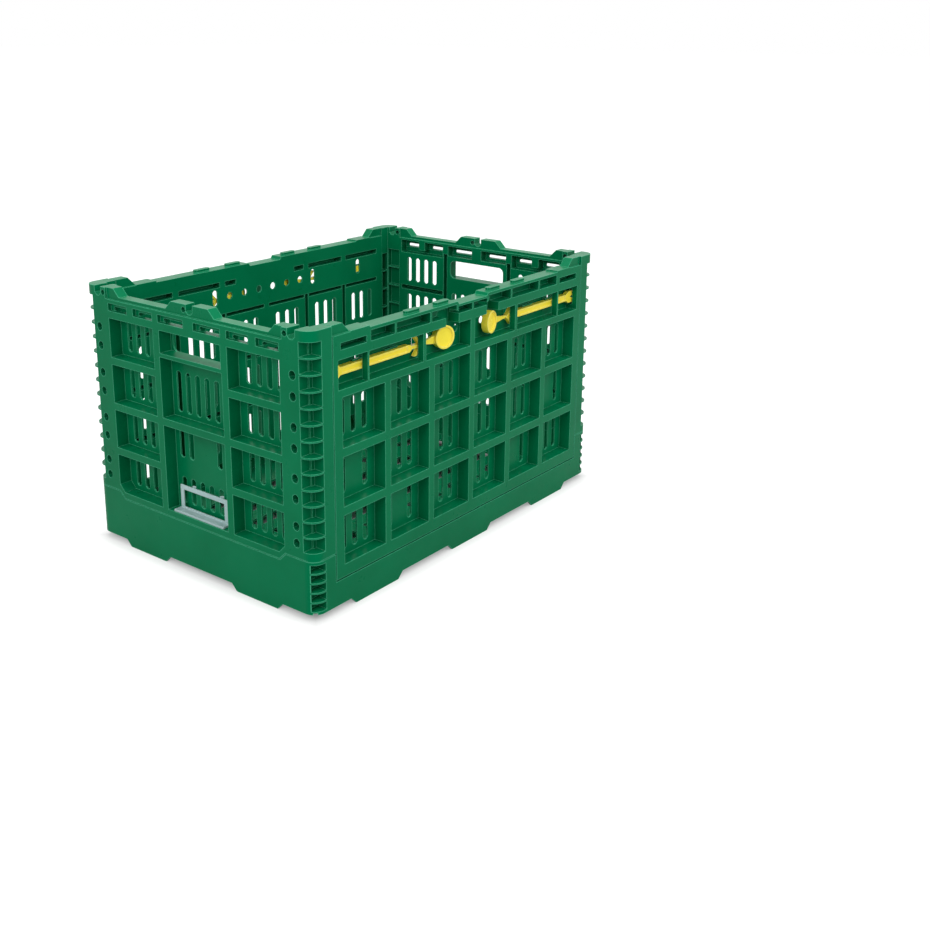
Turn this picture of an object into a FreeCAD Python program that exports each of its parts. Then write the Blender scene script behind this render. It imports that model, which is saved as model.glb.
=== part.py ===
# Collapsible storage crate, standing up.  Millimetres.
# X runs along the length, Y across the width, Z up from the underside of the feet.
# Each panel is drawn once on one side and mirrored for the opposite one.
import FreeCAD
import Part
import math
import os

os.makedirs("parts", exist_ok=True)

# Overall size
LENGTH = 600.0
WIDTH = 400.0
HEIGHT = 350.0
PANEL = 20.0
SKIN = 2.0
CORNER_R = 16.0

# Base tray
FOOT = 8.7
FLOOR_THICK = 3.0
FLOOR_LIFT = 2.3
BASE_WALL = 3.0
END_WALL_TOP = 66.0
CORNER_STEP = 9.5
LONG_WALL_TOP = 40.0
STEP_INSET = 56.0
END_FOOT_INNER = 58.0
END_FOOT_INSET = 54.0
LONG_FOOT_LENGTH = 96.0
LONG_FOOT_INSET = 62.0
FLOOR_X_COUNT = 6
FLOOR_Y_COUNT = 7
FLOOR_RIB = 22.0
FLOOR_MARGIN = 20.0
BASE_FIN_COUNT = 4
CHANNEL_RIB_PITCH = 40.0

# Corner posts of the end panels
FLANGE_LENGTH = 36.0
FLANGE_THICK = 18.0
FLANGE_SKIN = 2.5
RECESS_LENGTH = 19.0
RECESS_WIDTH = 17.0
CORE = 5.0
CAP = 12.0
FIN = 2.0
FIN_COUNT = 12
STRIP_WIDTH = 43.0
HOLE_INSET = 27.5
HOLE_HEIGHT = 10.8
HOLE_WIDTH = 9.4
HOLE_DEPTH = 10.0
HOLE_PAIR_DROP = 65.5
HOLE_PAIR_GAP = 25.0
HOLE_PAIR_LOW = 30.0
HOLE_PAIR_LOW_GAP = 21.0
SOCKET_HEIGHT = 23.0

# End panel lattice
ROW_COUNT = 4
ROW_DROP = 39.0
ROW_FLOOR = 9.8
ROW_RIB = 9.6
COLUMN_RIB = 10.5
SIDE_CELL_INSET = 47.5
CENTRE_CELL = 56.0
SLOT_WIDTH = 8.6
SLOT_PITCH = 17.3
SLOT_MARGIN = 6.2
SLOT_SIDE = 4.0
END_FLAT_SHARE = 0.4
GROOVE = 6.8
GROOVE_DEPTH = 14.0
HANDLE_HEIGHT = 29.0
HANDLE_INSET = 5.0
HANDLE_R = 8.0
LEDGE = 5.1
UPPER_SLOT_DROP = 19.4
LOWER_SLOT_DROP = 3.6
LOWER_SLOT_LENGTH = 41.0
LABEL_SLOT_RISE = 7.2
LABEL_SLOT_LENGTH = 35.0
WINDOW_DROP = 19.4
WINDOW_HEIGHT = 9.9
WINDOW_DEPTH = 5.0
WINDOW_INSET = 6.0
WINDOW_SLOT = 5.4
WINDOW_BACK = 4.0
WINDOW_GAP = 12.0
CROWN_HEIGHT = 14.5
CROWN_SETBACK = 3.0
CROWN_THICK = 14.0
CROWN_HOLE = 7.0
DIP_DEPTH = 10.5
CENTRE_LUG = 33.0
CORNER_LUG = 22.0
NOTCH_DEPTH = 12.0
NOTCH_WIDTH = 12.0
SEAM_HEIGHT = 1.4
SEAM_DEPTH = 0.8

# Side panel lattice
SIDE_GAP = 1.2
COLUMN_COUNT = 3
CENTRE_RIB = 10.0
SIDE_COLUMN_RIB = 10.25
SIDE_MARGIN = 14.1
SIDE_ROW_COUNT = 3
SIDE_ROW_DROP = 85.9
SIDE_ROW_FLOOR = 57.8
SIDE_ROW_RIB = 10.7
SIDE_SLOT_PITCH = 19.5
SIDE_SLOT_LOW = 7.0
SIDE_SLOT_HIGH = 10.0
CHANNEL_DROP = 41.3
CHANNEL_HEIGHT = 35.4
CHANNEL_STOP = 8.0
BAND_HEIGHT = 11.3
BAND_INNER = 57.0
CENTRE_BAND = 30.0
BAND_R = 5.0
RIM_POCKET_HEIGHT = 13.0
RIM_POCKET_DEPTH = 15.0
RIM_RIB = 3.0
RIM_LIP = 4.0
PLATE_RISE = 2.0
PLATE_INSET = 62.8
PLATE_LENGTH = 33.0
SIDE_LUG = 18.8
END_WINDOW = 8.0
PAD_LENGTH = 27.0
PAD_WIDTH = 8.0
PAD_HEIGHT = 3.5
STRAP_INSET = 59.8
STRAP_INNER = 99.0
STRAP_DEPTH = 9.0
STRAP_OUTER_WIDTH = 2.6
STRAP_INNER_WIDTH = 5.0
GUIDE_LENGTH = 24.0
GUIDE_DEPTH = 4.0
CORE_HOLE = 10.0
CORE_HOLE_PITCH = 28.5
CORE_HOLE_RISE = 4.5
CORE_SLOT_DROP = 6.5

# Hinges of the side panels
SLAB_CLEAR = 2.0
FOLD_GAP = 0.5
PINTLE_R = 3.0
BORE_R = 3.05
BARREL_R = 6.0
BARREL_BEVEL = 2.5
REAR_HEEL = 7.5
ARM_WIDTH = 14.0
BRACKET = 4.0
BRACKET_GAP = 0.4

# Latches
LATCH_DROP = 58.5
LATCH_BAR_HEIGHT = 9.5
LATCH_CLEAR = 0.2
LATCH_BAR_INNER = 113.0
LATCH_HEAD_LENGTH = 17.0
LATCH_HEAD_HEIGHT = 17.0
LATCH_HEAD_CLEAR = 0.4
LATCH_TIP_GAP = 3.8
LATCH_FORK = 8.0
LATCH_TRAVEL = 9.0
LATCH_NECK = 4.0
LATCH_NECK_LENGTH = 22.0
LATCH_ARM_REACH = 12.5
LATCH_ARM_WIDTH = 4.0
LATCH_RECESS = 1.0
THUMB_X = 49.0
THUMB_RISE = 1.5
THUMB_R = 15.3
THUMB_THICK = 9.2
THUMB_TILT_DEGREES = 12.0
THUMB_RIM = 2.4

# Label holder
HOLDER_INSET = 12.5
HOLDER_SHELF = 2.0
HOLDER_HEIGHT = 34.2
HOLDER_BORDER = 6.0
HOLDER_THICK = 2.0
HOLDER_SETBACK = 11.0
HOLDER_PEG = 6.0
HOLDER_PEG_HEIGHT = 4.0
HOLDER_SILL = 2.0

# Worked out from the sizes above
HALF_L = LENGTH / 2
HALF_W = WIDTH / 2
POCKET = PANEL - SKIN
FLOOR_TOP = FOOT + FLOOR_LIFT + FLOOR_THICK
CORNER_TOP = END_WALL_TOP + CORNER_STEP
STEP_AT = HALF_W - STEP_INSET
FLANGE_X = HALF_L - FLANGE_LENGTH
FLANGE_Y = HALF_W - FLANGE_THICK
RECESS_X = HALF_L - RECESS_LENGTH
RECESS_Y = HALF_W - RECESS_WIDTH
STRIP_INNER = HALF_W - STRIP_WIDTH
ROW_TOP = HEIGHT - ROW_DROP
ROW_BOTTOM = END_WALL_TOP + ROW_FLOOR
ROW_PITCH = (ROW_TOP + ROW_RIB - ROW_BOTTOM) / ROW_COUNT
SIDE_CELL_INNER = CENTRE_CELL + COLUMN_RIB
SIDE_CELL_OUTER = HALF_W - SIDE_CELL_INSET
CROWN_BASE = HEIGHT - CROWN_HEIGHT
DIP = HEIGHT - DIP_DEPTH
SIDE_HALF = FLANGE_X - SIDE_GAP
COLUMN_FIRST = CENTRE_RIB / 2
COLUMN_PITCH = (SIDE_HALF - SIDE_MARGIN - COLUMN_FIRST + SIDE_COLUMN_RIB) / COLUMN_COUNT
COLUMN_WIDTH = COLUMN_PITCH - SIDE_COLUMN_RIB
SIDE_ROW_TOP = HEIGHT - SIDE_ROW_DROP
SIDE_ROW_PITCH = (SIDE_ROW_TOP + SIDE_ROW_RIB - SIDE_ROW_FLOOR) / SIDE_ROW_COUNT
SIDE_ROW_HEIGHT = SIDE_ROW_PITCH - SIDE_ROW_RIB
CHANNEL_TOP = HEIGHT - CHANNEL_DROP
CHANNEL_BOTTOM = CHANNEL_TOP - CHANNEL_HEIGHT
BAND_TOP = CHANNEL_TOP + BAND_HEIGHT
RIM_POCKET_TOP = BAND_TOP + RIM_POCKET_HEIGHT
RIM_TOP = RIM_POCKET_TOP + RIM_LIP
PLATE_TOP = RIM_TOP + PLATE_RISE
PLATE_INNER = SIDE_HALF - PLATE_INSET
PLATE_OUTER = PLATE_INNER + PLATE_LENGTH
SIDE_LUG_INNER = SIDE_HALF - SIDE_LUG
STRAP_OUTER = SIDE_HALF - STRAP_INSET
PIVOT_INSET = PANEL - BARREL_R
FRONT_PIVOT_Z = FLOOR_TOP + FOLD_GAP + BARREL_R
REAR_PIVOT_Z = FRONT_PIVOT_Z + PANEL + FOLD_GAP
FRONT_SLAB_BOTTOM = LONG_WALL_TOP + SLAB_CLEAR
REAR_SLAB_BOTTOM = REAR_PIVOT_Z + REAR_HEEL
LATCH_Z = HEIGHT - LATCH_DROP
SOCKET_BOTTOM = LATCH_Z - SOCKET_HEIGHT / 2
SOCKET_TOP = LATCH_Z + SOCKET_HEIGHT / 2
LATCH_TIP = SIDE_HALF - LATCH_TIP_GAP
LATCH_HEAD = LATCH_TIP - LATCH_HEAD_LENGTH
HOLDER_HALF = CENTRE_CELL - HOLDER_INSET
ORIGIN = FreeCAD.Vector(0, 0, 0)
ACROSS_X = FreeCAD.Vector(1, 0, 0)
ACROSS_Y = FreeCAD.Vector(0, 1, 0)
ROOT_HALF = math.sqrt(0.5)


def spot(plane, a, b, t):
    """Point with in-plane coordinates a, b and height t above the plane."""
    if plane == "yz":
        return FreeCAD.Vector(t, a, b)
    if plane == "xz":
        return FreeCAD.Vector(a, t, b)
    return FreeCAD.Vector(a, b, t)


def block(x0, x1, y0, y1, z0, z1):
    return Part.makeBox(x1 - x0, y1 - y0, z1 - z0, FreeCAD.Vector(x0, y0, z0))


def grow(plane, edges, t0, t1):
    face = Part.Face(Part.Wire(edges))
    return face.extrude(spot(plane, 0, 0, t1 - t0))


def prism(plane, corners, t0, t1):
    points = [spot(plane, a, b, t0) for a, b in corners]
    points.append(points[0])
    face = Part.Face(Part.makePolygon(points))
    return face.extrude(spot(plane, 0, 0, t1 - t0))


def line(plane, a0, b0, a1, b1, t):
    return Part.LineSegment(spot(plane, a0, b0, t), spot(plane, a1, b1, t)).toShape()


def arc(plane, a0, b0, am, bm, a1, b1, t):
    return Part.Arc(spot(plane, a0, b0, t), spot(plane, am, bm, t), spot(plane, a1, b1, t)).toShape()


def slot(plane, a, width, b0, b1, t0, t1):
    """Upright slot whose ends are bevelled off at 45 degrees."""
    r = width / 2
    flat = r * END_FLAT_SHARE
    bevel = r - flat
    corners = [
        (a - flat, b0),
        (a + flat, b0),
        (a + r, b0 + bevel),
        (a + r, b1 - bevel),
        (a + flat, b1),
        (a - flat, b1),
        (a - r, b1 - bevel),
        (a - r, b0 + bevel),
    ]
    return prism(plane, corners, t0, t1)


def lying_slot(plane, a0, a1, b, height, t0, t1):
    """The same slot turned to run along the first in-plane axis."""
    r = height / 2
    flat = r * END_FLAT_SHARE
    bevel = r - flat
    corners = [
        (a0 + bevel, b - r),
        (a1 - bevel, b - r),
        (a1, b - flat),
        (a1, b + flat),
        (a1 - bevel, b + r),
        (a0 + bevel, b + r),
        (a0, b + flat),
        (a0, b - flat),
    ]
    return prism(plane, corners, t0, t1)


def rounded(plane, a0, a1, b0, b1, r, t0, t1):
    """Rectangle with four rounded corners."""
    k = r * (1 - ROOT_HALF)
    edges = [
        line(plane, a0 + r, b0, a1 - r, b0, t0),
        arc(plane, a1 - r, b0, a1 - k, b0 + k, a1, b0 + r, t0),
        line(plane, a1, b0 + r, a1, b1 - r, t0),
        arc(plane, a1, b1 - r, a1 - k, b1 - k, a1 - r, b1, t0),
        line(plane, a1 - r, b1, a0 + r, b1, t0),
        arc(plane, a0 + r, b1, a0 + k, b1 - k, a0, b1 - r, t0),
        line(plane, a0, b1 - r, a0, b0 + r, t0),
        arc(plane, a0, b0 + r, a0 + k, b0 + k, a0 + r, b0, t0),
    ]
    return grow(plane, edges, t0, t1)


def mirrored(shape, across):
    return shape.mirror(ORIGIN, across)


def both(shapes, across):
    """The shapes together with their mirror images."""
    return list(shapes) + [mirrored(one, across) for one in shapes]


def join(shapes):
    return shapes[0].fuse(shapes[1:]).removeSplitter()


def carve(body, tools):
    return body.cut(tools)


# ---------------------------------------------------------------- end panel
def corner_post(x_out, z0, z1):
    """Plan of one post: rounded outer corner and the flange along the long side."""
    k = CORNER_R * (1 - ROOT_HALF)
    x_in = x_out + PANEL
    edges = [
        line("xy", x_out, STRIP_INNER, x_out, HALF_W - CORNER_R, z0),
        arc("xy", x_out, HALF_W - CORNER_R, x_out + k, HALF_W - k, x_out + CORNER_R, HALF_W, z0),
        line("xy", x_out + CORNER_R, HALF_W, -FLANGE_X, HALF_W, z0),
        line("xy", -FLANGE_X, HALF_W, -FLANGE_X, FLANGE_Y, z0),
        line("xy", -FLANGE_X, FLANGE_Y, x_in, FLANGE_Y, z0),
        line("xy", x_in, FLANGE_Y, x_in, STRIP_INNER, z0),
        line("xy", x_in, STRIP_INNER, x_out, STRIP_INNER, z0),
    ]
    return grow("xy", edges, z0, z1)


def end_panel():
    x_out = -HALF_L
    x_in = x_out + PANEL
    x_skin = x_in - SKIN
    step = CORNER_STEP

    # Slab, crown and corner posts.
    half = [
        (0, END_WALL_TOP),
        (STEP_AT, END_WALL_TOP),
        (STEP_AT + step, CORNER_TOP),
        (RECESS_Y, CORNER_TOP),
        (RECESS_Y, CROWN_BASE),
        (0, CROWN_BASE),
    ]
    slope = DIP_DEPTH
    lug_inner = STEP_AT
    crown = [
        (0, CROWN_BASE - 1),
        (0, HEIGHT),
        (CENTRE_LUG, HEIGHT),
        (CENTRE_LUG + slope, DIP),
        (lug_inner - slope, DIP),
        (lug_inner, HEIGHT),
        (RECESS_Y, HEIGHT),
        (RECESS_Y, CROWN_BASE - 1),
    ]
    crown_out = x_out + CROWN_SETBACK
    parts = [
        prism("yz", half, x_out, x_in),
        prism("yz", crown, crown_out, crown_out + CROWN_THICK),
        corner_post(x_out, CORNER_TOP, HEIGHT),
    ]
    body = join(both(parts, ACROSS_Y))

    # Notches in the crown.
    lug_outer = lug_inner + CORNER_LUG
    notch_top = HEIGHT + NOTCH_WIDTH
    notch_floor = HEIGHT - NOTCH_DEPTH
    notch_y = lug_outer + NOTCH_WIDTH / 2
    tools = [slot("yz", notch_y, NOTCH_WIDTH, notch_floor, notch_top, x_out - 1, x_in + 1)]
    hole_y = lug_outer - CROWN_HOLE / 2 - 1
    hole_z = HEIGHT - CROWN_HOLE
    hole_low = hole_z - CROWN_HOLE / 2
    hole_top = hole_z + CROWN_HOLE / 2
    tools.append(slot("yz", hole_y, CROWN_HOLE, hole_low, hole_top, x_out - 1, x_in + 1))
    notches = both(tools, ACROSS_Y)
    hole_y = (NOTCH_WIDTH + CROWN_HOLE) / 2 + 1
    notches.append(slot("yz", hole_y, CROWN_HOLE, hole_low, hole_top, x_out - 1, x_in + 1))
    notches.append(slot("yz", 0, NOTCH_WIDTH, notch_floor, notch_top, x_out - 1, x_in + 1))

    # Shadow line where the panel sits on the base.
    seam = [
        (0, END_WALL_TOP - 1),
        (STEP_AT + 0.4 * SEAM_HEIGHT, END_WALL_TOP - 1),
        (STEP_AT + step, CORNER_TOP - 0.6 * SEAM_HEIGHT),
        (HALF_W + 1, CORNER_TOP - 1),
        (HALF_W + 1, CORNER_TOP + SEAM_HEIGHT),
        (STEP_AT + step - 0.4 * SEAM_HEIGHT, CORNER_TOP + SEAM_HEIGHT),
        (STEP_AT - 0.4 * SEAM_HEIGHT, END_WALL_TOP + SEAM_HEIGHT),
        (0, END_WALL_TOP + SEAM_HEIGHT),
    ]
    tools.append(prism("yz", seam, x_out - 1, x_out + SEAM_DEPTH))
    tools.append(block(x_out + CORNER_R / 2, 1 - FLANGE_X, HALF_W - SEAM_DEPTH, HALF_W + 1, CORNER_TOP - 1,
                       CORNER_TOP + SEAM_HEIGHT))

    # Finned recess at the outer corner of the post.
    fin_bottom = CORNER_TOP + CAP - 2
    fin_top = HEIGHT - CAP
    core_x = -RECESS_X - CORE
    core_y = RECESS_Y + SKIN
    recess = [
        (x_out - 1, RECESS_Y),
        (core_x, RECESS_Y),
        (core_x, core_y),
        (-RECESS_X, core_y),
        (-RECESS_X, HALF_W + 1),
        (x_out - 1, HALF_W + 1),
    ]
    fin_pitch = (fin_top - fin_bottom) / (FIN_COUNT + 1)
    for n in range(FIN_COUNT + 1):
        z = fin_bottom + n * fin_pitch
        tools.append(prism("xy", recess, z + FIN / 2, z + fin_pitch - FIN / 2))

    # Blind oval holes in the strip beside the corner, in pairs.
    hole_y = HALF_W - HOLE_INSET
    pair_top = HEIGHT - HOLE_PAIR_DROP
    ladder = ROW_PITCH / 2
    for n in range(ROW_COUNT):
        middle = pair_top - n * ROW_PITCH
        gap = HOLE_PAIR_GAP
        if n == ROW_COUNT - 1:
            middle = CORNER_TOP + HOLE_PAIR_LOW
            gap = HOLE_PAIR_LOW_GAP
        for z in (middle - gap / 2, middle + gap / 2):
            tools.append(slot("yz", hole_y, HOLE_WIDTH, z - HOLE_HEIGHT / 2, z + HOLE_HEIGHT / 2, x_out - 1,
                              x_out + HOLE_DEPTH))

    # Ladder of pockets behind the strip and in the flange, open to the inside.
    for n in range(2 * ROW_COUNT):
        z = pair_top + ladder - n * ladder
        low = max(z - ladder + FIN / 2, CORNER_TOP + FIN)
        tools.append(block(x_out + HOLE_DEPTH + SKIN, x_in + 1, STRIP_INNER, RECESS_Y - SKIN,
                           low, z - FIN / 2))
    flange_out = -RECESS_X + SKIN
    flange_in = -FLANGE_X - FLANGE_SKIN
    flange_face = HALF_W - FLANGE_SKIN
    for n in range(2 * ROW_COUNT):
        z = SOCKET_TOP + CAP / 3 - n * ladder
        low = max(z - ladder + FIN, CORNER_TOP + FIN)
        tools.append(block(flange_out, flange_in, FLANGE_Y - 1, flange_face, low, z))
    tools.append(block(flange_in - 1, -FLANGE_X + 1, FLANGE_Y + SKIN, flange_face, SOCKET_BOTTOM, SOCKET_TOP))

    # Side cells with their slots.
    cell = ROW_PITCH - ROW_RIB
    for n in range(ROW_COUNT):
        top = ROW_TOP - n * ROW_PITCH
        low = top - cell
        bevel = 0.0
        if n == ROW_COUNT - 1:
            bevel = step
        outline = [
            (SIDE_CELL_INNER, low),
            (SIDE_CELL_OUTER - bevel, low),
            (SIDE_CELL_OUTER, low + bevel),
            (SIDE_CELL_OUTER, top),
            (SIDE_CELL_INNER, top),
        ]
        if bevel == 0.0:
            outline.remove((SIDE_CELL_OUTER, low + bevel))
        tools.append(prism("yz", outline, x_out - 1, x_skin))
        middle = (SIDE_CELL_INNER + SIDE_CELL_OUTER) / 2
        slots = int((SIDE_CELL_OUTER - SIDE_CELL_INNER - 2 * SLOT_SIDE) / SLOT_PITCH)
        for m in range(slots):
            y = middle + (m - (slots - 1) / 2) * SLOT_PITCH
            tools.append(slot("yz", y, SLOT_WIDTH, low + SLOT_MARGIN, top - SLOT_MARGIN,
                              x_skin - 1, x_in + 1))
        # Hollow back of the rib above the cell.
        rib = top + ROW_RIB / 2
        tools.append(block(x_in - GROOVE_DEPTH, x_in + 1, SIDE_CELL_INNER, SIDE_CELL_OUTER,
                           rib - GROOVE / 2, rib + GROOVE / 2))
    # Hollow backs of the upright ribs.
    rib = (CENTRE_CELL + SIDE_CELL_INNER) / 2
    tools.append(block(x_in - GROOVE_DEPTH, x_in + 1, rib - GROOVE / 2, rib + GROOVE / 2,
                       CORNER_TOP + FIN, ROW_TOP + ROW_RIB / 2 + GROOVE / 2))

    # Centre column slots.
    handle_bottom = ROW_TOP - HANDLE_HEIGHT
    ledge_bottom = handle_bottom - LEDGE
    rib_top = ROW_TOP - 2 * ROW_PITCH + ROW_RIB
    lower_top = rib_top - ROW_RIB
    label_low = ROW_BOTTOM + LABEL_SLOT_RISE
    spans = [
        (rib_top + SLOT_MARGIN, ledge_bottom - UPPER_SLOT_DROP),
        (label_low, label_low + LABEL_SLOT_LENGTH),
        (lower_top - LOWER_SLOT_DROP - LOWER_SLOT_LENGTH, lower_top - LOWER_SLOT_DROP),
    ]
    for m in range(int((CENTRE_CELL - SLOT_SIDE) / SLOT_PITCH)):
        y = (m + 0.5) * SLOT_PITCH
        for low, high in spans[:2]:
            tools.append(slot("yz", y, SLOT_WIDTH, low, high, x_skin - 1, x_in + 1))
        if m > 0:
            low, high = spans[2]
            tools.append(slot("yz", y, SLOT_WIDTH, low, high, x_skin - 1, x_in + 1))

    # Window row under the rim.
    window_top = HEIGHT - WINDOW_DROP
    window_low = window_top - WINDOW_HEIGHT
    window_z = window_low + WINDOW_SLOT / 2
    half_cell = (SIDE_CELL_OUTER - SIDE_CELL_INNER - WINDOW_GAP) / 2
    windows = [
        (COLUMN_FIRST + RIM_LIP, CENTRE_CELL),
        (SIDE_CELL_INNER, SIDE_CELL_INNER + half_cell),
        (SIDE_CELL_OUTER - half_cell, SIDE_CELL_OUTER),
    ]
    for y0, y1 in windows:
        tools.append(block(x_out - 1, x_out + WINDOW_DEPTH, y0, y1, window_low, window_top))
        tools.append(lying_slot("yz", y0 + WINDOW_INSET, y1 - WINDOW_INSET, window_z, WINDOW_SLOT,
                                x_out, x_in))
        tools.append(block(x_out + WINDOW_DEPTH + SKIN, x_in + 1, y0, y1, window_low - WINDOW_BACK,
                           window_top + SKIN))

    tools = both(tools, ACROSS_Y) + notches

    # Centre column: hand hole, upper pocket and label pocket.
    recess_y = CENTRE_CELL - 1
    handle_y = CENTRE_CELL - HANDLE_INSET
    groove_z = rib_top - ROW_RIB / 2
    tools.append(block(x_out - 1, x_skin, -recess_y, recess_y, handle_bottom, ROW_TOP))
    tools.append(rounded("yz", -handle_y, handle_y, handle_bottom, ROW_TOP - 1, HANDLE_R,
                         x_skin - 1, x_in + 1))
    tools.append(block(x_out - 1, x_skin, -CENTRE_CELL, CENTRE_CELL, rib_top, ledge_bottom))
    tools.append(block(x_out - 1, x_skin, -CENTRE_CELL, CENTRE_CELL, ROW_BOTTOM, lower_top))
    tools.append(block(x_in - GROOVE_DEPTH, x_in + 1, -CENTRE_CELL, CENTRE_CELL,
                       groove_z - GROOVE / 2, groove_z + GROOVE / 2))
    return carve(body, tools)


# ---------------------------------------------------------------- side panel
def side_panel(pivot_z, slab_bottom):
    y_out = -HALF_W
    y_in = y_out + PANEL
    y_skin = y_in - SKIN
    pivot_y = y_out + PIVOT_INSET

    # Slab and stepped rim.
    rim = [
        (0, slab_bottom),
        (SIDE_HALF, slab_bottom),
        (SIDE_HALF, PLATE_TOP - 1),
        (PLATE_OUTER, PLATE_TOP - 1),
        (PLATE_OUTER, PLATE_TOP),
        (PLATE_INNER, PLATE_TOP),
        (PLATE_INNER, RIM_TOP),
        (CENTRE_LUG, RIM_TOP),
        (CENTRE_BAND, RIM_POCKET_TOP),
        (0, RIM_POCKET_TOP),
    ]
    lug = [
        (PLATE_OUTER, PLATE_TOP - 2),
        (PLATE_OUTER, PLATE_TOP),
        (SIDE_LUG_INNER, HEIGHT),
        (SIDE_HALF, HEIGHT),
        (SIDE_HALF, PLATE_TOP - 2),
    ]
    crown_out = y_out + CROWN_SETBACK
    parts = [
        prism("xz", rim, y_out, y_in),
        prism("xz", lug, crown_out, crown_out + CROWN_THICK),
    ]
    column_mid = COLUMN_FIRST + COLUMN_WIDTH / 2
    pad_middle = [column_mid + PAD_LENGTH / 2, column_mid + COLUMN_PITCH - PAD_LENGTH / 2]
    for x in pad_middle:
        parts.append(lying_slot("xy", x - PAD_LENGTH / 2, x + PAD_LENGTH / 2, (y_out + y_in) / 2, PAD_WIDTH,
                                RIM_TOP - 1, RIM_TOP + PAD_HEIGHT))
    # Hinge arms with moulded pintles.
    for n in range(0, COLUMN_COUNT, 2):
        x = column_mid + n * COLUMN_PITCH
        arm = [
            (pivot_y - BARREL_R, slab_bottom + 1),
            (pivot_y - BARREL_R, pivot_z - BARREL_BEVEL),
            (pivot_y - BARREL_BEVEL, pivot_z - BARREL_R),
            (pivot_y + BARREL_BEVEL, pivot_z - BARREL_R),
            (pivot_y + BARREL_R, pivot_z - BARREL_BEVEL),
            (pivot_y + BARREL_R, slab_bottom + 1),
        ]
        parts.append(prism("yz", arm, x - ARM_WIDTH, x))
        reach = BRACKET + BRACKET_GAP
        parts.append(Part.makeCylinder(PINTLE_R, reach, FreeCAD.Vector(x, pivot_y, pivot_z), ACROSS_X))
    body = join(both(parts, ACROSS_X))

    # Lattice cells, slots and the hollow backs of the ribs.
    tools = []
    for n in range(COLUMN_COUNT):
        x0 = COLUMN_FIRST + n * COLUMN_PITCH
        x1 = x0 + COLUMN_WIDTH
        middle = (x0 + x1) / 2
        for m in range(SIDE_ROW_COUNT):
            top = SIDE_ROW_TOP - m * SIDE_ROW_PITCH
            low = top - SIDE_ROW_HEIGHT
            tools.append(block(x0, x1, y_out - 1, y_skin, low, top))
            places = [middle - SIDE_SLOT_PITCH, middle, middle + SIDE_SLOT_PITCH]
            blank = m + n == COLUMN_COUNT and m > 0
            if blank:
                places.remove(middle)
            for x in places:
                tools.append(slot("xz", x, SLOT_WIDTH, low + SIDE_SLOT_LOW, top - SIDE_SLOT_HIGH,
                                  y_skin - 1, y_in + 1))
        rib = x1 + SIDE_COLUMN_RIB / 2
        if n < COLUMN_COUNT - 1:
            tools.append(block(rib - GROOVE / 2, rib + GROOVE / 2, y_in - GROOVE_DEPTH, y_in + 1,
                               slab_bottom + FIN, CHANNEL_BOTTOM - SKIN))
        # Hollow backs of the level ribs and of the band above the latch channel.
        for m in range(SIDE_ROW_COUNT - 1):
            rib = SIDE_ROW_TOP - m * SIDE_ROW_PITCH - SIDE_ROW_HEIGHT - SIDE_ROW_RIB / 2
            tools.append(block(x0, x1, y_in - GROOVE_DEPTH, y_in + 1, rib - GROOVE / 2, rib + GROOVE / 2))
        tools.append(block(x0, x1, y_in - GROOVE_DEPTH, y_in + 1, SIDE_ROW_TOP + SKIN, CHANNEL_BOTTOM - SKIN))
        tools.append(block(max(x0, BAND_INNER + SKIN), x1, y_in - GROOVE_DEPTH, y_in + 1, CHANNEL_TOP + SKIN,
                           BAND_TOP - SKIN))

    # Latch channel with its bridging straps and the core holes behind them.
    strap_back = y_out + STRAP_DEPTH
    channel = block(COLUMN_FIRST - 0.5, SIDE_HALF - CHANNEL_STOP, y_out - 1, y_skin,
                    CHANNEL_BOTTOM, CHANNEL_TOP)
    kept = []
    for x, width in ((STRAP_OUTER, STRAP_OUTER_WIDTH), (STRAP_INNER, STRAP_INNER_WIDTH)):
        kept.append(block(x - width / 2, x + width / 2, y_out - 2, strap_back,
                          CHANNEL_BOTTOM - 1, CHANNEL_TOP + 1))
        tools.append(slot("xz", x, SLOT_WIDTH, LATCH_Z - CORE_SLOT_DROP, CHANNEL_TOP - 1,
                          y_skin - 1, y_in + 1))
    run = LATCH_BAR_HEIGHT / 2 + LATCH_CLEAR
    reach = GUIDE_LENGTH / 2
    for x in (STRAP_OUTER, LATCH_BAR_INNER + GUIDE_LENGTH + LATCH_TRAVEL):
        for low in (LATCH_Z + run, LATCH_Z - run - FIN):
            kept.append(block(x - reach, x + reach, y_skin - GUIDE_DEPTH, y_skin + 1, low, low + FIN))
    tools.append(channel.cut(kept))
    tools.append(block(SIDE_HALF - CHANNEL_STOP - 1, SIDE_HALF + 1, strap_back - 1, y_skin,
                       SOCKET_BOTTOM, SOCKET_TOP))
    tools.append(rounded("xz", CENTRE_BAND, BAND_INNER, CHANNEL_TOP - BAND_R - 1, BAND_TOP + BAND_R + 1,
                         BAND_R, y_out - 1, y_skin))
    hole_z = LATCH_Z + CORE_HOLE_RISE
    hole_low = hole_z - CORE_HOLE / 2
    hole_top = hole_z + CORE_HOLE / 2
    for n in range(COLUMN_COUNT):
        x = (n + 0.5) * CORE_HOLE_PITCH
        tools.append(slot("xz", x, CORE_HOLE, hole_low, hole_top, y_skin - 1, y_in + 1))

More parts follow.
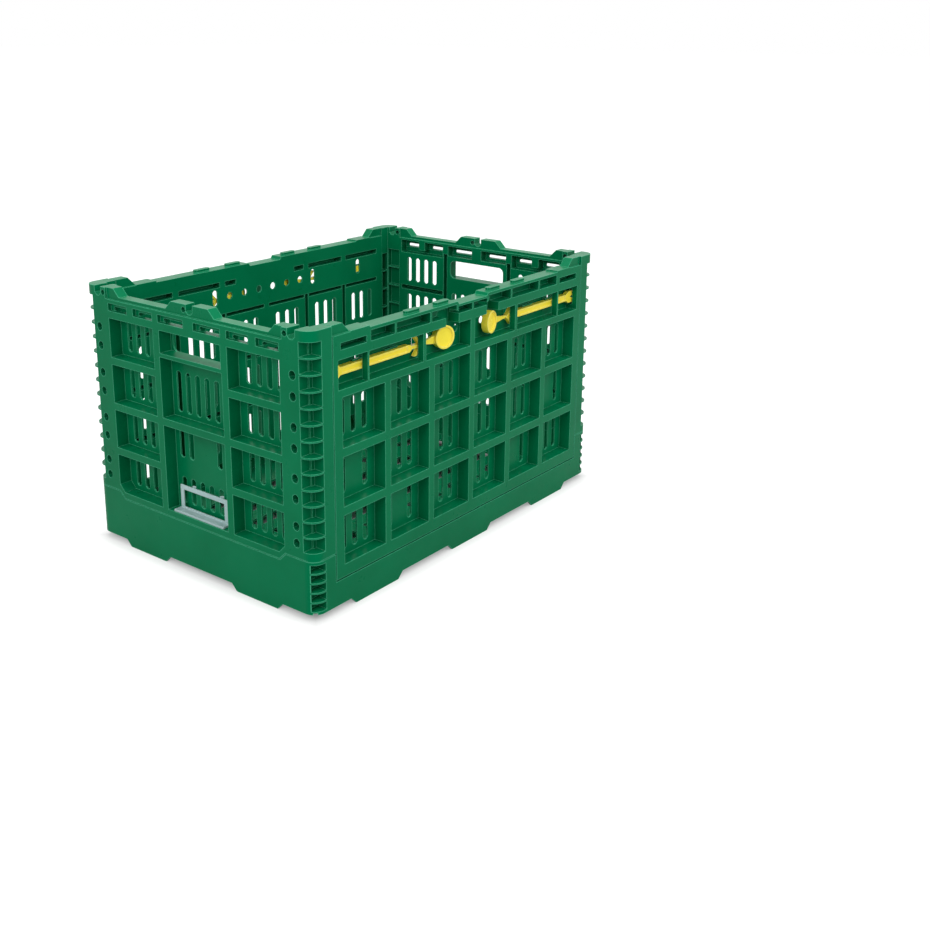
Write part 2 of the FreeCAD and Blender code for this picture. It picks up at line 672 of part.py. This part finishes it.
    # Pockets under the rim.
    ribs = [CENTRE_LUG, COLUMN_FIRST + COLUMN_PITCH - RIM_RIB, COLUMN_FIRST + 2 * COLUMN_WIDTH, PLATE_INNER]
    for n in range(len(ribs) - 1):
        tools.append(block(ribs[n] + RIM_RIB / 2, ribs[n + 1] - RIM_RIB / 2,
                           y_out - 1, y_out + RIM_POCKET_DEPTH, BAND_TOP, RIM_POCKET_TOP))
    tools.append(block(RIM_RIB / 2, CENTRE_BAND + 1, y_out - 1, y_out + RIM_POCKET_DEPTH, BAND_TOP + 1,
                       RIM_POCKET_TOP - RIM_RIB))
    tools.append(block(PLATE_INNER + 2 * RIM_RIB, SIDE_LUG_INNER + 2 * RIM_RIB, y_out - 1,
                       y_out + RIM_POCKET_DEPTH, BAND_TOP, BAND_TOP + END_WINDOW))
    return carve(body, both(tools, ACROSS_X))


# ---------------------------------------------------------------- latch
def latch():
    """Latch of the front panel, on the +X side, drawn back."""
    y_front = STRAP_DEPTH + LATCH_CLEAR - HALF_W
    y_back = POCKET - LATCH_CLEAR - HALF_W
    half = LATCH_BAR_HEIGHT / 2
    neck = LATCH_NECK / 2
    hub = LATCH_BAR_INNER - LATCH_NECK_LENGTH
    head = LATCH_HEAD_HEIGHT / 2
    fork = 3 * LATCH_FORK / 8
    bar = [
        (LATCH_BAR_INNER + LATCH_NECK, LATCH_Z - half),
        (LATCH_HEAD, LATCH_Z - half),
        (LATCH_HEAD, LATCH_Z + half),
        (LATCH_BAR_INNER + LATCH_NECK, LATCH_Z + half),
        (LATCH_BAR_INNER, LATCH_Z + neck),
        (LATCH_BAR_INNER, LATCH_Z - neck),
    ]
    tail = [
        (LATCH_HEAD - 1, LATCH_Z - half),
        (LATCH_HEAD + LATCH_NECK, LATCH_Z - head),
        (LATCH_TIP - 2, LATCH_Z - head),
        (LATCH_TIP, LATCH_Z - head + 2),
        (LATCH_TIP, LATCH_Z - fork),
        (LATCH_TIP - LATCH_FORK, LATCH_Z),
        (LATCH_TIP, LATCH_Z + fork),
        (LATCH_TIP, LATCH_Z + head - 2),
        (LATCH_TIP - 2, LATCH_Z + head),
        (LATCH_HEAD + LATCH_NECK, LATCH_Z + head),
        (LATCH_HEAD - 1, LATCH_Z + half),
    ]
    head_back = FLANGE_Y + SKIN + LATCH_HEAD_CLEAR
    tail_solid = prism("xz", tail, y_front, -head_back)
    arm_y0 = y_front + 1
    arm_y1 = y_back - 1.5
    reach = LATCH_ARM_REACH
    upper = [
        (hub - 1, LATCH_Z),
        (hub - 1 + reach, LATCH_Z + reach),
        (hub - 1 + reach + LATCH_ARM_WIDTH, LATCH_Z + reach),
        (hub - 1 + LATCH_ARM_WIDTH + 1, LATCH_Z),
    ]
    lower = [(a, 2 * LATCH_Z - b) for a, b in upper]
    spoon = [
        (THUMB_X + THUMB_R - 3, LATCH_Z - 3 * neck),
        (hub - 6, LATCH_Z - neck),
        (hub + 1, LATCH_Z - neck),
        (hub + 1, LATCH_Z + neck),
        (hub - 6, LATCH_Z + neck),
        (THUMB_X + THUMB_R - 3, LATCH_Z + 3 * neck),
    ]
    lean = math.radians(THUMB_TILT_DEGREES)
    normal = FreeCAD.Vector(math.sin(lean), -math.cos(lean), 0)
    back_y = y_back - THUMB_R * math.sin(lean)
    centre = FreeCAD.Vector(THUMB_X, back_y, LATCH_Z + THUMB_RISE)
    disc = Part.makeCylinder(THUMB_R, THUMB_THICK, centre, normal)
    dish = Part.makeCylinder(THUMB_R - THUMB_RIM, THUMB_THICK, centre + normal * (THUMB_THICK - 2), normal)
    disc = disc.cut(dish)
    rest = [
        prism("xz", bar, y_front, y_back),
        block(hub, LATCH_BAR_INNER + 1, arm_y0, arm_y1, LATCH_Z - neck, LATCH_Z + neck),
        prism("xz", spoon, arm_y1 - 4, arm_y1),
        prism("xz", upper, arm_y0, arm_y1),
        prism("xz", lower, arm_y0, arm_y1),
        disc,
    ]
    solid = join([tail_solid] + rest)
    inset = half - LATCH_RECESS - 1
    recess = block(LATCH_BAR_INNER + 2 * LATCH_NECK, LATCH_HEAD - LATCH_NECK,
                   y_front - 1, y_front + LATCH_RECESS, LATCH_Z - inset, LATCH_Z + inset)
    return solid.cut(recess)


# ---------------------------------------------------------------- label holder
def label_holder():
    x_out = -HALF_L
    floor = ROW_BOTTOM
    top = floor + HOLDER_HEIGHT
    plate = x_out + HOLDER_SETBACK
    shelf_top = floor + HOLDER_THICK + 1
    shelf_y = HOLDER_HALF + HOLDER_SHELF
    window_y = HOLDER_HALF - HOLDER_BORDER
    frame = block(plate, plate + HOLDER_THICK, -HOLDER_HALF, HOLDER_HALF, floor, top)
    shelf = block(x_out + 1, plate + HOLDER_THICK, -shelf_y, shelf_y, floor, shelf_top)
    window = block(plate - 1, plate + HOLDER_THICK + 1, -window_y, window_y,
                   shelf_top + HOLDER_SILL, top - HOLDER_BORDER)
    peg_y = 1.5 * SLOT_PITCH
    peg_z = top - HOLDER_BORDER
    half_peg = HOLDER_PEG / 2
    peg = block(plate + 1, x_out + PANEL + 1, peg_y - half_peg, peg_y + half_peg,
                peg_z, peg_z + HOLDER_PEG_HEIGHT)
    return join([frame.cut(window), shelf] + both([peg], ACROSS_Y))


# ---------------------------------------------------------------- base tray
def base_tray():
    inner_x = HALF_L - PANEL
    wall_y = HALF_W - BASE_WALL
    body = rounded("xy", -HALF_L, HALF_L, -HALF_W, HALF_W, CORNER_R, FOOT, CORNER_TOP)
    floor_low = FLOOR_TOP - FLOOR_THICK
    tools = [
        block(-inner_x, inner_x, -wall_y, wall_y, FLOOR_TOP, HEIGHT),
        block(BASE_WALL - HALF_L, HALF_L - BASE_WALL, -wall_y, wall_y, 0, floor_low),
    ]
    step = CORNER_STEP
    lowered = [
        (-STEP_AT, END_WALL_TOP),
        (STEP_AT, END_WALL_TOP),
        (STEP_AT + step, CORNER_TOP),
        (STEP_AT + step, HEIGHT),
        (-STEP_AT - step, HEIGHT),
        (-STEP_AT - step, CORNER_TOP),
    ]
    tools.append(prism("yz", lowered, -HALF_L - 1, HALF_L + 1))
    tools.append(block(-inner_x, inner_x, -HALF_W - 1, HALF_W + 1, LONG_WALL_TOP, HEIGHT))
    body = carve(body, tools)

    # Corner blocks under the post flanges.
    corner = block(-inner_x - 1, -FLANGE_X, FLANGE_Y, HALF_W, FLOOR_TOP - 1, CORNER_TOP)
    # Feet: two under each end wall, three under each long wall.
    end_foot = foot_profile(END_FOOT_INNER, HALF_W - END_FOOT_INSET)
    near = LONG_FOOT_INSET - HALF_L
    outer_foot = foot_profile(near, near + LONG_FOOT_LENGTH)
    quarter = [
        corner,
        prism("yz", end_foot, -HALF_L, BASE_WALL - HALF_L),
        prism("xz", outer_foot, wall_y, HALF_W),
    ]
    added = both(both(quarter, ACROSS_Y), ACROSS_X)
    middle = foot_profile(-LONG_FOOT_LENGTH / 2, LONG_FOOT_LENGTH / 2)
    added += both([prism("xz", middle, wall_y, HALF_W)], ACROSS_Y)

    # Hinge brackets.
    for n in range(0, COLUMN_COUNT, 2):
        x = COLUMN_FIRST + COLUMN_WIDTH / 2 + n * COLUMN_PITCH + BRACKET_GAP
        added += both([bracket(x, -1, FRONT_PIVOT_Z)], ACROSS_X)
        added += both([bracket(x, 1, REAR_PIVOT_Z)], ACROSS_X)
    body = join([body] + added)

    # Channel in the top of each end wall, finned corners and floor grid.
    cuts = []
    bay = CHANNEL_RIB_PITCH
    bays = int(STEP_AT / bay)
    for n in range(bays):
        low = n * bay + FIN / 2
        cuts.append(block(BASE_WALL - HALF_L, -inner_x - BASE_WALL, low, low + bay - FIN, FLOOR_TOP + FIN,
                          END_WALL_TOP + 1))
    fin_bottom = FOOT + BASE_WALL
    fin_top = CORNER_TOP - BASE_WALL
    fin_pitch = (fin_top - fin_bottom) / (BASE_FIN_COUNT + 1)
    for n in range(BASE_FIN_COUNT + 1):
        z = fin_bottom + n * fin_pitch
        cuts.append(block(FIN - HALF_L, -RECESS_X, RECESS_Y + SKIN, HALF_W + 1, z + FIN / 2,
                          z + fin_pitch - FIN / 2))
    cuts = both(both(cuts, ACROSS_Y), ACROSS_X)
    cell_x = (2 * inner_x - FLOOR_RIB) / FLOOR_X_COUNT
    clear_y = HALF_W - PANEL - FLOOR_MARGIN
    cell_y = (2 * clear_y - FLOOR_RIB) / FLOOR_Y_COUNT
    for n in range(FLOOR_X_COUNT):
        x = -inner_x + FLOOR_RIB + n * cell_x
        for m in range(FLOOR_Y_COUNT):
            y = -clear_y + FLOOR_RIB + m * cell_y
            cuts.append(block(x, x + cell_x - FLOOR_RIB, y, y + cell_y - FLOOR_RIB,
                              floor_low - 1, FLOOR_TOP + 1))
    return carve(body, cuts)


def bracket(x0, side, pivot_z):
    """Upright plate that carries one pivot bore, tied to the long wall."""
    pivot_y = side * (HALF_W - PIVOT_INSET)
    wall = side * (HALF_W - BASE_WALL)
    inner = pivot_y - side * BARREL_R
    outline = [
        (wall, FLOOR_TOP - 1),
        (wall, pivot_z),
        (pivot_y + side * BARREL_R, pivot_z + BARREL_BEVEL),
        (pivot_y + side * BARREL_BEVEL, pivot_z + BARREL_R),
        (pivot_y - side * BARREL_BEVEL, pivot_z + BARREL_R),
        (inner, pivot_z + BARREL_BEVEL),
        (inner, FLOOR_TOP - 1),
    ]
    bore = Part.makeCylinder(BORE_R, BRACKET + 2, FreeCAD.Vector(x0 - 1, pivot_y, pivot_z), ACROSS_X)
    return prism("yz", outline, x0, x0 + BRACKET).cut(bore)


def foot_profile(low, high):
    """Foot with ends that slope in at 45 degrees."""
    return [
        (low, FOOT + 1),
        (low, FOOT),
        (low + FOOT, 0),
        (high - FOOT, 0),
        (high, FOOT),
        (high, FOOT + 1),
    ]


# ---------------------------------------------------------------- assembly
end_left = end_panel()
holder_left = label_holder()
front = side_panel(FRONT_PIVOT_Z, FRONT_SLAB_BOTTOM)
rear = mirrored(side_panel(REAR_PIVOT_Z, REAR_SLAB_BOTTOM), ACROSS_Y)
latch_front_right = latch()
latch_front_left = mirrored(latch_front_right, ACROSS_X)

nodes = {
    "base_tray": base_tray(),
    "end_panel_left": end_left,
    "end_panel_right": mirrored(end_left, ACROSS_X),
    "side_panel_front": front,
    "side_panel_rear": rear,
    "latch_front_left": latch_front_left,
    "latch_front_right": latch_front_right,
    "latch_rear_left": mirrored(latch_front_left, ACROSS_Y),
    "latch_rear_right": mirrored(latch_front_right, ACROSS_Y),
    "label_holder_left": holder_left,
    "label_holder_right": mirrored(holder_left, ACROSS_X),
}

for name, shape in nodes.items():
    shape.exportStep("parts/" + name + ".step")
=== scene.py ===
import math

import bpy
from mathutils import Matrix, Vector


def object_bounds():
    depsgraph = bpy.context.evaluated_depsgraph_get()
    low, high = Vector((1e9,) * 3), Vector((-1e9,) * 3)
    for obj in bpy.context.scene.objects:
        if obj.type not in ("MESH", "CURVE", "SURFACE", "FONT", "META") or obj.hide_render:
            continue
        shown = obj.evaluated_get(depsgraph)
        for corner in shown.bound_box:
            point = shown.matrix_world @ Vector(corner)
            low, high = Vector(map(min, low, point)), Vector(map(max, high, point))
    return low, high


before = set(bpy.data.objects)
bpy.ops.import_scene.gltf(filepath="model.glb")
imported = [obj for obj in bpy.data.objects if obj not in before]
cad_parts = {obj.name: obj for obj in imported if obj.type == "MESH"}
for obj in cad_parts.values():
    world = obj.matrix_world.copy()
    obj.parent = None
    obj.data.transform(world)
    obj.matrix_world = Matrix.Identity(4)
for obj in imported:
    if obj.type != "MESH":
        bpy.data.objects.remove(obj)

box_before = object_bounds()

# Lengths are in metres, noise scales are per metre, angles in degrees and lamp powers in watts.

# ------------------------------------------------------------------ finish values
PLASTIC_IOR = 1.49
PLASTIC_SPECULAR = 0.20
FLOW_SCALE = 7.0            # broad, faint colour patches from the flow of the melt
SCUFF_SCALE = 34.0          # patches that are rubbed duller or shinier
SINK_SCALE = 26.0           # shallow waves, as sink marks leave
SINK_STRENGTH, SINK_DEPTH = 0.35, 0.0012
GRAIN_SCALE = 900.0         # fine skin of the mould
GRAIN_STRENGTH, GRAIN_DEPTH = 0.08, 0.0003
EDGE_HIGHLIGHT_AND_WEAR, EDGE_HIGHLIGHT_AND_WEAR_SHARE = 0.0013, 0.7     # width of a paler edge, a painted highlight with some wear, and how much of the paler colour it takes

# The same for the milky clear plastic of the label holders.
CLEAR_CLOUD_SCALE = 22.0
CLEAR_SKIN_SCALE = 300.0
CLEAR_SKIN_STRENGTH, CLEAR_SKIN_DEPTH = 0.1, 0.0003
# Width and share of the paler edge of the clear plastic, a painted highlight.
CLEAR_EDGE, CLEAR_EDGE_SHARE = 0.0008, 0.8
CLEAR_TRANSMISSION = 0.30

# The edge mask compares the rounded normal with the true one: their dot product falls from 1 towards an edge.
EDGE_DOT_FLAT, EDGE_DOT_FULL = 0.998, 0.93
EDGE_SAMPLES = 8

# Radii that the mould leaves on the sharp edges of the CAD pieces.
CRATE_RADIUS, LATCH_RADIUS, LABEL_RADIUS = 0.0008, 0.0006, 0.0004
RADIUS_SEGMENTS = 2
SHARP_ANGLE = 38.0
FLAT_ANGLE = 1.0
WELD_GAP = 0.00001

# ------------------------------------------------------------------ studio values
WHITE = (1.0, 1.0, 1.0, 1.0)
PAPER = (0.50, 0.50, 0.50, 1.0)
FLOOR_SIZE = 60.0
FLOOR_GLOW = 0.70           # lifts the paper to white for the rays that see it
FLOOR_MIRRORED = 0.15       # share of that glow that mirror rays see
FOOTPRINT_INSET = 0.012     # the painted shadow under the crate is measured from an outline this far inside the crate's
GLOW_STARTS, GLOW_FULL = -0.02, 0.03    # distances from that outline where the glow starts and where it is full; between them the painted shadow fades out
SKY_SEEN, SKY_LIGHT = 1.0, 0.62         # strength for the rays that see the sky, and for its light
SKY_MIRRORED = 1.0
LAMP_TARGET = (0.0, 0.0, 0.2)
# Name, place, side of the square, power, and whether mirror rays see the lamp.
LAMPS = (
    ("key_left", (-2.2, -0.5, 1.7), 1.4, 23.0, False),
    ("fill_right", (0.2, -2.3, 2.0), 1.8, 28.0, False),
    ("top", (0.3, 0.4, 2.6), 1.8, 30.0, True),
)

# Fitted so that the corners of the crate fall where the photo shows them.
CAMERA_PLACE = (-1.1764, -1.0594, 0.6704)
CAMERA_YAW, CAMERA_PITCH, CAMERA_ROLL = 52.09, 15.43, -0.37
SENSOR_MM, LENS_MM = 36.0, 45.20903
SHIFT_X, SHIFT_Y = 0.028957, -0.125538  # in picture widths
CLIP_END = 80.0


# ------------------------------------------------------------------ shader helpers
def srgb(r, g, b):
    """A linear colour from the usual 0 to 255 values."""
    def linear(v):
        v = v / 255.0
        return v / 12.92 if v <= 0.04045 else ((v + 0.055) / 1.055) ** 2.4
    return (linear(r), linear(g), linear(b), 1.0)


def new_material(name):
    mat = bpy.data.materials.new(name)
    mat.use_nodes = True
    tree = mat.node_tree
    tree.nodes.clear()
    out = tree.nodes.new("ShaderNodeOutputMaterial")
    shader = tree.nodes.new("ShaderNodeBsdfPrincipled")
    tree.links.new(shader.outputs["BSDF"], out.inputs["Surface"])
    return mat, tree, shader


def object_coordinates(tree):
    return tree.nodes.new("ShaderNodeTexCoord").outputs["Object"]


def noise(tree, vector, scale, detail, fineness=0.5):
    node = tree.nodes.new("ShaderNodeTexNoise")
    node.inputs["Scale"].default_value = scale
    node.inputs["Detail"].default_value = detail
    node.inputs["Roughness"].default_value = fineness
    tree.links.new(vector, node.inputs["Vector"])
    return node.outputs["Fac"]


def spread(tree, source, low, high, in_low=0.3, in_high=0.7):
    """Maps in_low..in_high of the source to low..high, and holds the ends."""
    node = tree.nodes.new("ShaderNodeMapRange")
    node.inputs["From Min"].default_value = in_low
    node.inputs["From Max"].default_value = in_high
    node.inputs["To Min"].default_value = low
    node.inputs["To Max"].default_value = high
    tree.links.new(source, node.inputs["Value"])
    return node.outputs["Result"]


def blend_colours(tree, factor, first, second):
    """Mixes two colours, each a constant or a socket."""
    node = tree.nodes.new("ShaderNodeMix")
    node.data_type = "RGBA"
    tree.links.new(factor, node.inputs["Factor"])
    for colour, socket in ((first, node.inputs["A"]), (second, node.inputs["B"])):
        if isinstance(colour, tuple):
            socket.default_value = colour
        else:
            tree.links.new(colour, socket)
    return node.outputs["Result"]


def bump(tree, height, strength, depth, under=None):
    """A bump that lies over the normal called under."""
    node = tree.nodes.new("ShaderNodeBump")
    node.inputs["Strength"].default_value = strength
    node.inputs["Distance"].default_value = depth
    tree.links.new(height, node.inputs["Height"])
    if under is not None:
        tree.links.new(under, node.inputs["Normal"])
    return node.outputs["Normal"]


def edge_mask(tree, radius, strength):
    """The strength on an outer or inner edge, 0 on a flat face."""
    bevel = tree.nodes.new("ShaderNodeBevel")
    bevel.samples = EDGE_SAMPLES
    bevel.inputs["Radius"].default_value = radius
    geometry = tree.nodes.new("ShaderNodeNewGeometry")
    dot = tree.nodes.new("ShaderNodeVectorMath")
    dot.operation = "DOT_PRODUCT"
    tree.links.new(bevel.outputs["Normal"], dot.inputs[0])
    tree.links.new(geometry.outputs["Normal"], dot.inputs[1])
    return spread(tree, dot.outputs["Value"], strength, 0.0, in_low=EDGE_DOT_FULL, in_high=EDGE_DOT_FLAT)


def maths(tree, operation, first, second=None):
    """A math node whose operands are numbers or sockets."""
    node = tree.nodes.new("ShaderNodeMath")
    node.operation = operation
    for value, socket in zip((first, second), node.inputs):
        if value is None:
            continue
        if isinstance(value, float):
            socket.default_value = value
        else:
            tree.links.new(value, socket)
    return node.outputs["Value"]


# ------------------------------------------------------------------ finishes
def moulded_plastic(name, base, dark, edge_highlight_colour, rough_low, rough_high, tint):
    """Injection-moulded plastic: flow marks, scuffed gloss, sink marks, fine skin, and paler edges that are a
    painted highlight with some wear.
    """
    mat, tree, shader = new_material(name)
    coords = object_coordinates(tree)
    flow = noise(tree, coords, FLOW_SCALE, detail=5.0, fineness=0.6)
    patches = spread(tree, flow, low=0.0, high=1.0, in_low=0.35, in_high=0.6)
    body = blend_colours(tree, patches, dark, base)
    # The paler colour on outer and inner edges is a painted highlight, with some wear.
    colour = blend_colours(tree, edge_mask(tree, EDGE_HIGHLIGHT_AND_WEAR, EDGE_HIGHLIGHT_AND_WEAR_SHARE), body, edge_highlight_colour)
    tree.links.new(colour, shader.inputs["Base Color"])
    scuff = noise(tree, coords, SCUFF_SCALE, detail=4.0, fineness=0.65)
    tree.links.new(spread(tree, scuff, rough_low, rough_high), shader.inputs["Roughness"])
    grain = bump(tree, noise(tree, coords, GRAIN_SCALE, detail=2.0), GRAIN_STRENGTH, GRAIN_DEPTH)
    sink = bump(tree, noise(tree, coords, SINK_SCALE, detail=1.0), SINK_STRENGTH, SINK_DEPTH, under=grain)
    tree.links.new(sink, shader.inputs["Normal"])
    shader.inputs["IOR"].default_value = PLASTIC_IOR
    shader.inputs["Specular IOR Level"].default_value = PLASTIC_SPECULAR
    shader.inputs["Specular Tint"].default_value = tint
    return mat


def clear_plastic(name, base, dark, edge_highlight_colour, rough_low, rough_high):
    """Milky clear plastic: cloudy tone, fine skin, and paler edges that are a painted highlight."""
    mat, tree, shader = new_material(name)
    coords = object_coordinates(tree)
    cloud = noise(tree, coords, CLEAR_CLOUD_SCALE, detail=2.0)
    body = blend_colours(tree, spread(tree, cloud, low=0.0, high=1.0), dark, base)
    # The paler colour on the edges is a painted highlight.
    colour = blend_colours(tree, edge_mask(tree, CLEAR_EDGE, CLEAR_EDGE_SHARE), body, edge_highlight_colour)
    tree.links.new(colour, shader.inputs["Base Color"])
    tree.links.new(spread(tree, cloud, rough_low, rough_high), shader.inputs["Roughness"])
    skin = noise(tree, coords, CLEAR_SKIN_SCALE, detail=1.0)
    tree.links.new(bump(tree, skin, CLEAR_SKIN_STRENGTH, CLEAR_SKIN_DEPTH), shader.inputs["Normal"])
    shader.inputs["Transmission Weight"].default_value = CLEAR_TRANSMISSION
    shader.inputs["IOR"].default_value = PLASTIC_IOR
    return mat


# The paler edge colours given here are painted edge highlights, with some wear on the green and yellow.
GREEN = moulded_plastic(
    "green_moulded", base=srgb(0, 117, 74), dark=srgb(0, 108, 67), edge_highlight_colour=srgb(88, 190, 150),
    rough_low=0.26, rough_high=0.38, tint=(0.05, 0.80, 0.50, 1.0))
YELLOW = moulded_plastic(
    "yellow_moulded", base=srgb(254, 236, 72), dark=srgb(252, 228, 56), edge_highlight_colour=srgb(255, 248, 160),
    rough_low=0.22, rough_high=0.34, tint=(1.0, 0.9, 0.4, 1.0))
CLEAR = clear_plastic(
    "clear_moulded", base=srgb(202, 228, 229), dark=srgb(186, 216, 217), edge_highlight_colour=srgb(228, 248, 246),
    rough_low=0.16, rough_high=0.26)


# ------------------------------------------------------------------ the CAD pieces
def finish_and_radius(name):
    if name.startswith("latch"):
        return YELLOW, LATCH_RADIUS
    if name.startswith("label"):
        return CLEAR, LABEL_RADIUS
    return GREEN, CRATE_RADIUS


def round_edges(piece, radius):
    """Gives the sharp CAD edges the small radius that a mould leaves."""
    weld = piece.modifiers.new("weld", "WELD")
    weld.merge_threshold = WELD_GAP
    flat = piece.modifiers.new("flat", "DECIMATE")
    flat.decimate_type = "DISSOLVE"
    flat.angle_limit = math.radians(FLAT_ANGLE)
    soft = piece.modifiers.new("soft_edges", "BEVEL")
    soft.width = radius
    soft.segments = RADIUS_SEGMENTS
    soft.limit_method = "ANGLE"
    soft.angle_limit = math.radians(SHARP_ANGLE)
    soft.use_clamp_overlap = True
    smooth = piece.modifiers.new("normals", "WEIGHTED_NORMAL")
    smooth.keep_sharp = True


for node_name, node_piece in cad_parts.items():
    finish, mould_radius = finish_and_radius(node_name)
    for slot in node_piece.material_slots:
        slot.material = finish
    round_edges(node_piece, mould_radius)


# ------------------------------------------------------------------ studio
def cleared_tree(holder):
    holder.use_nodes = True
    holder.node_tree.nodes.clear()
    return holder.node_tree


def seen_rays(tree, mirrored):
    """1 for camera and glass rays, the given share for mirror rays, 0 for rays that light the object."""
    path = tree.nodes.new("ShaderNodeLightPath")
    shown = maths(tree, "MAXIMUM", path.outputs["Is Camera Ray"], path.outputs["Is Transmission Ray"])
    return maths(tree, "MAXIMUM", shown, maths(tree, "MULTIPLY", path.outputs["Is Glossy Ray"], mirrored))


def past_footprint(tree):
    """How far a point of the floor lies outside the outline of the painted shadow under the crate, negative
    inside it.
    """
    split = tree.nodes.new("ShaderNodeSeparateXYZ")
    tree.links.new(object_coordinates(tree), split.inputs["Vector"])
    past = []
    for axis, half_size in zip(("X", "Y"), box_before[1]):
        from_middle = maths(tree, "ABSOLUTE", split.outputs[axis])
        past.append(maths(tree, "SUBTRACT", from_middle, half_size - FOOTPRINT_INSET))
    return maths(tree, "MAXIMUM", *past)


def floor_paper():
    """Grey paper lit by the lamps, with a white glow for the rays that see it, left off under the crate and
    just round it: a painted shadow over the paper's real shade.
    """
    mat = bpy.data.materials.new("studio_floor")
    tree = cleared_tree(mat)
    paper = tree.nodes.new("ShaderNodeBsdfDiffuse")
    paper.inputs["Color"].default_value = PAPER
    # No glow under the crate and close round it: a painted shadow over the real shade of the grey paper.
    glow_outside_painted_shadow = spread(tree, past_footprint(tree), 0.0, FLOOR_GLOW, in_low=GLOW_STARTS, in_high=GLOW_FULL)
    glow = tree.nodes.new("ShaderNodeEmission")
    seen_glow = maths(tree, "MULTIPLY", seen_rays(tree, FLOOR_MIRRORED), glow_outside_painted_shadow)
    tree.links.new(seen_glow, glow.inputs["Strength"])
    both = tree.nodes.new("ShaderNodeAddShader")
    tree.links.new(paper.outputs["BSDF"], both.inputs[0])
    tree.links.new(glow.outputs["Emission"], both.inputs[1])
    out = tree.nodes.new("ShaderNodeOutputMaterial")
    tree.links.new(both.outputs["Shader"], out.inputs["Surface"])
    return mat


def background(tree, strength):
    node = tree.nodes.new("ShaderNodeBackground")
    node.inputs["Color"].default_value = WHITE
    node.inputs["Strength"].default_value = strength
    return node.outputs["Background"]


def studio_sky():
    """A white sky for the rays that see it, and a dimmer one for the light."""
    world = bpy.data.worlds.new("studio")
    tree = cleared_tree(world)
    mix = tree.nodes.new("ShaderNodeMixShader")
    tree.links.new(seen_rays(tree, SKY_MIRRORED), mix.inputs["Fac"])
    tree.links.new(background(tree, SKY_LIGHT), mix.inputs[1])
    tree.links.new(background(tree, SKY_SEEN), mix.inputs[2])
    out = tree.nodes.new("ShaderNodeOutputWorld")
    tree.links.new(mix.outputs["Shader"], out.inputs["Surface"])
    return world


def area_light(name, location, size, power, mirrored):
    data = bpy.data.lights.new(name, "AREA")
    data.shape = "SQUARE"
    data.size = size
    data.energy = power
    lamp = bpy.data.objects.new(name, data)
    bpy.context.collection.objects.link(lamp)
    lamp.location = location
    lamp.visible_glossy = mirrored
    aim = Vector(LAMP_TARGET) - Vector(location)
    lamp.rotation_euler = aim.to_track_quat("-Z", "Y").to_euler()


bpy.ops.mesh.primitive_plane_add(size=FLOOR_SIZE, location=(0, 0, 0))
floor = bpy.context.object
floor.name = "studio_floor"
floor.data.materials.append(floor_paper())
bpy.context.scene.world = studio_sky()
for lamp_values in LAMPS:
    area_light(*lamp_values)


# ------------------------------------------------------------------ camera
def camera_axes(yaw, pitch, roll):
    """The camera's right, up and back directions. Yaw turns from +Y towards +X, and pitch looks down."""
    forward = Vector((math.cos(pitch) * math.sin(yaw), math.cos(pitch) * math.cos(yaw), -math.sin(pitch)))
    level_right = forward.cross(Vector((0, 0, 1))).normalized()
    level_down = forward.cross(level_right)
    right = math.cos(roll) * level_right + math.sin(roll) * level_down
    down = -math.sin(roll) * level_right + math.cos(roll) * level_down
    return right, -down, -forward


axes = camera_axes(math.radians(CAMERA_YAW), math.radians(CAMERA_PITCH), math.radians(CAMERA_ROLL))
cam_data = bpy.data.cameras.new("camera")
cam_data.sensor_width = SENSOR_MM
cam_data.lens = LENS_MM
cam_data.shift_x = SHIFT_X
cam_data.shift_y = SHIFT_Y
cam_data.clip_end = CLIP_END
camera = bpy.data.objects.new("camera", cam_data)
bpy.context.collection.objects.link(camera)
camera.matrix_world = Matrix.Translation(CAMERA_PLACE) @ Matrix(axes).transposed().to_4x4()
bpy.context.scene.camera = camera
bpy.context.scene.view_settings.view_transform = "Standard"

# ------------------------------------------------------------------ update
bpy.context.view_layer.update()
